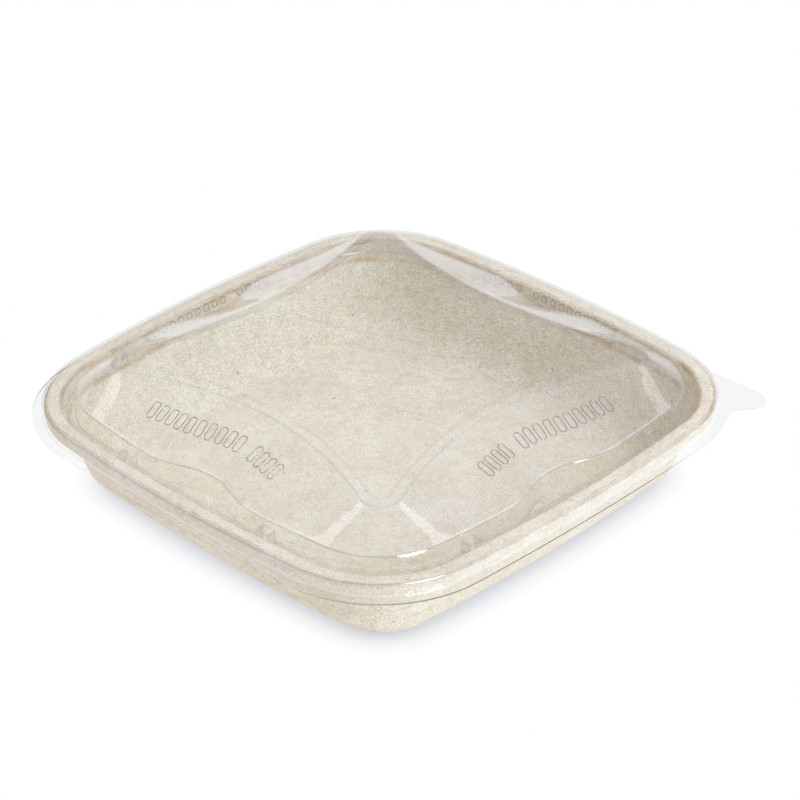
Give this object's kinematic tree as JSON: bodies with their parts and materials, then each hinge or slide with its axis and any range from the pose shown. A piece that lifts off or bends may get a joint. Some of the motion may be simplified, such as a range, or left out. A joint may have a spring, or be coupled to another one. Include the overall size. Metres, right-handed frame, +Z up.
{
  "type": "snap lid food container",
  "caption": "Shallow square moulded-fibre bowl with a clear snap lid: star-shaped crown, sloping side panels, rim cover, lugs and a corner pull tab.",
  "frame": {"origin": "under the middle of the bowl's base, on the surface the container stands on", "axes": "+Z up, X and Y along the bowl's sides, the lid's pull tab at the +X +Y corner"},
  "size_m": [0.1964, 0.1964, 0.0508],
  "materials": {
    "fibre": "rough pressed plant fibre, cream to beige with soft brown mottling",
    "clear_sheet": "crystal clear thermoformed sheet, glossy"
  },
  "bodies": {
    "bowl": {"fibre_bowl": "fibre"},
    "lid": {"clear_lid": "clear_sheet"}
  },
  "joints": [
    {"name": "lid_lift", "type": "slide", "parent": "bowl", "child": "lid", "axis": [0, 0, 1], "range_m": [0, 0.08]}
  ]
}
